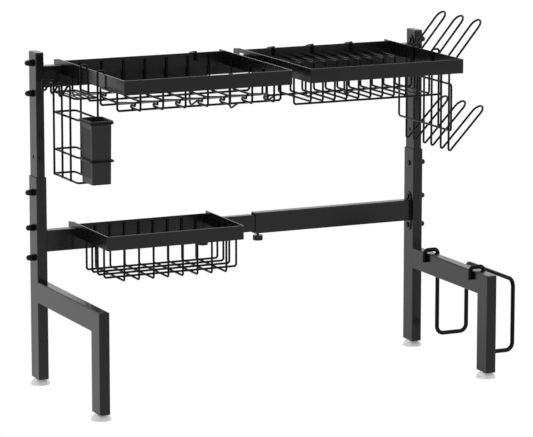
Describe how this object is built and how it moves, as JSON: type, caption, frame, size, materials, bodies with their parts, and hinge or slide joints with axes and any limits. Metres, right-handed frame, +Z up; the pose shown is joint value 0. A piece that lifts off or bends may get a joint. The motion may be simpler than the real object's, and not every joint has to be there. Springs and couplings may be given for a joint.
{
  "type": "over sink dish rack",
  "caption": "Over sink dish rack: telescoping crossbars between two side frames carry hanging wire trays, a sink basket, a cutlery cup, hooks, a cup rack and a board holder.",
  "frame": {"origin": "middle of the whole rack's footprint, on the worktop", "axes": "+X to the rack's right as seen from the front, +Y to the back where the posts and crossbars are, +Z up"},
  "size_m": [0.8906, 0.3562, 0.664],
  "materials": {
    "powder_coat": "satin",
    "black_fixings": "satin",
    "cap_plastic": "matte",
    "cup_plastic": "matte",
    "foot_silicone": "satin"
  },
  "bodies": {
    "root": {"left_side_frame": "powder_coat", "left_upper_post": "powder_coat", "left_post_cap": "cap_plastic", "left_leg_plugs": "cap_plastic", "left_rear_foot": "foot_silicone", "left_front_foot": "foot_silicone", "left_screws": "black_fixings", "left_washers": "black_fixings", "left_nuts": "black_fixings", "lower_bar_left": "powder_coat", "upper_bar_left": "powder_coat"},
    "right_half": {"right_side_frame": "powder_coat", "right_upper_post": "powder_coat", "right_post_cap": "cap_plastic", "right_leg_plugs": "cap_plastic", "right_rear_foot": "foot_silicone", "right_front_foot": "foot_silicone", "right_screws": "black_fixings", "right_washers": "black_fixings", "right_nuts": "black_fixings", "lower_bar_right": "powder_coat", "upper_bar_right": "powder_coat"},
    "lower_link": {"lower_bar_link": "powder_coat"},
    "upper_link": {"upper_bar_link": "powder_coat"},
    "lower_left_thumb": {"lower_left_thumb_screw": "cap_plastic"},
    "lower_right_thumb": {"lower_right_thumb_screw": "cap_plastic"},
    "upper_left_thumb": {"upper_left_thumb_screw": "cap_plastic"},
    "upper_right_thumb": {"upper_right_thumb_screw": "cap_plastic"},
    "bowl_tray": {"bowl_tray_frame": "powder_coat", "bowl_tray_cross_wires": "powder_coat", "bowl_tray_rails": "powder_coat"},
    "plate_tray": {"plate_tray_frame": "powder_coat", "plate_tray_cross_wires": "powder_coat", "plate_tray_rails": "powder_coat"},
    "sink_basket": {"sink_basket_frame": "powder_coat", "sink_basket_cross_wires": "powder_coat", "sink_basket_rails": "powder_coat"},
    "side_holder": {"side_holder_rings": "powder_coat", "side_holder_uprights": "powder_coat"},
    "utensil_cup": {"utensil_cup": "cup_plastic"},
    "cup_rack": {"cup_rack_ring": "powder_coat", "cup_rack_loops": "powder_coat"},
    "board_rod": {"board_rod": "powder_coat"},
    "s_hook_1": {"s_hook_1": "powder_coat"},
    "s_hook_2": {"s_hook_2": "powder_coat"},
    "s_hook_3": {"s_hook_3": "powder_coat"},
    "s_hook_4": {"s_hook_4": "powder_coat"},
    "s_hook_5": {"s_hook_5": "powder_coat"}
  },
  "joints": [
    {"name": "width_slide", "type": "slide", "parent": "root", "child": "right_half", "axis": [1, 0, 0], "range_m": [-0.012, 0.15]},
    {"name": "lower_link_slide", "type": "slide", "parent": "root", "child": "lower_link", "axis": [1, 0, 0], "range_m": [-0.006, 0.075]},
    {"name": "upper_link_slide", "type": "slide", "parent": "root", "child": "upper_link", "axis": [1, 0, 0], "range_m": [-0.006, 0.075]},
    {"name": "bowl_tray_slide", "type": "slide", "parent": "root", "child": "bowl_tray", "axis": [1, 0, 0], "range_m": [-0.03, 0.008]},
    {"name": "plate_tray_slide", "type": "slide", "parent": "right_half", "child": "plate_tray", "axis": [1, 0, 0], "range_m": [-0.004, 0.02]},
    {"name": "sink_basket_slide", "type": "slide", "parent": "root", "child": "sink_basket", "axis": [1, 0, 0], "range_m": [-0.05, 0.05]},
    {"name": "side_holder_lift", "type": "slide", "parent": "bowl_tray", "child": "side_holder", "axis": [0, 0, 1], "range_m": [0, 0.02]},
    {"name": "utensil_cup_lift", "type": "slide", "parent": "side_holder", "child": "utensil_cup", "axis": [0, 0, 1], "range_m": [0, 0.12]},
    {"name": "cup_rack_lift", "type": "slide", "parent": "plate_tray", "child": "cup_rack", "axis": [0, 0, 1], "range_m": [0, 0.03]},
    {"name": "board_rod_lift", "type": "slide", "parent": "right_half", "child": "board_rod", "axis": [0, 0, 1], "range_m": [0, 0.03]},
    {"name": "s_hook_1_slide", "type": "slide", "parent": "bowl_tray", "child": "s_hook_1", "axis": [1, 0, 0], "range_m": [-0.011, 0.022]},
    {"name": "s_hook_2_slide", "type": "slide", "parent": "upper_link", "child": "s_hook_2", "axis": [1, 0, 0], "range_m": [-0.003, 0.003]},
    {"name": "s_hook_3_slide", "type": "slide", "parent": "plate_tray", "child": "s_hook_3", "axis": [1, 0, 0], "range_m": [-0.02, 0.02]},
    {"name": "s_hook_4_slide", "type": "slide", "parent": "plate_tray", "child": "s_hook_4", "axis": [1, 0, 0], "range_m": [-0.02, 0.02]},
    {"name": "s_hook_5_slide", "type": "slide", "parent": "plate_tray", "child": "s_hook_5", "axis": [1, 0, 0], "range_m": [-0.02, 0.02]},
    {"name": "lower_left_thumb_turn", "type": "hinge", "parent": "root", "child": "lower_left_thumb", "pos_m": [-0.08275, 0.14285, 0.23], "axis": [0, 0, 1], "range_deg": [0, 360]},
    {"name": "lower_right_thumb_turn", "type": "hinge", "parent": "right_half", "child": "lower_right_thumb", "pos_m": [0.03125, 0.14285, 0.23], "axis": [0, 0, 1], "range_deg": [0, 360]},
    {"name": "upper_left_thumb_turn", "type": "hinge", "parent": "root", "child": "upper_left_thumb", "pos_m": [-0.08275, 0.14285, 0.5357], "axis": [0, 0, 1], "range_deg": [0, 360]},
    {"name": "upper_right_thumb_turn", "type": "hinge", "parent": "right_half", "child": "upper_right_thumb", "pos_m": [0.03125, 0.14285, 0.5357], "axis": [0, 0, 1], "range_deg": [0, 360]}
  ],
  "couplings": [
    {"joint": "lower_link_slide", "follows": "width_slide", "ratio": 0.5},
    {"joint": "upper_link_slide", "follows": "width_slide", "ratio": 0.5}
  ]
}
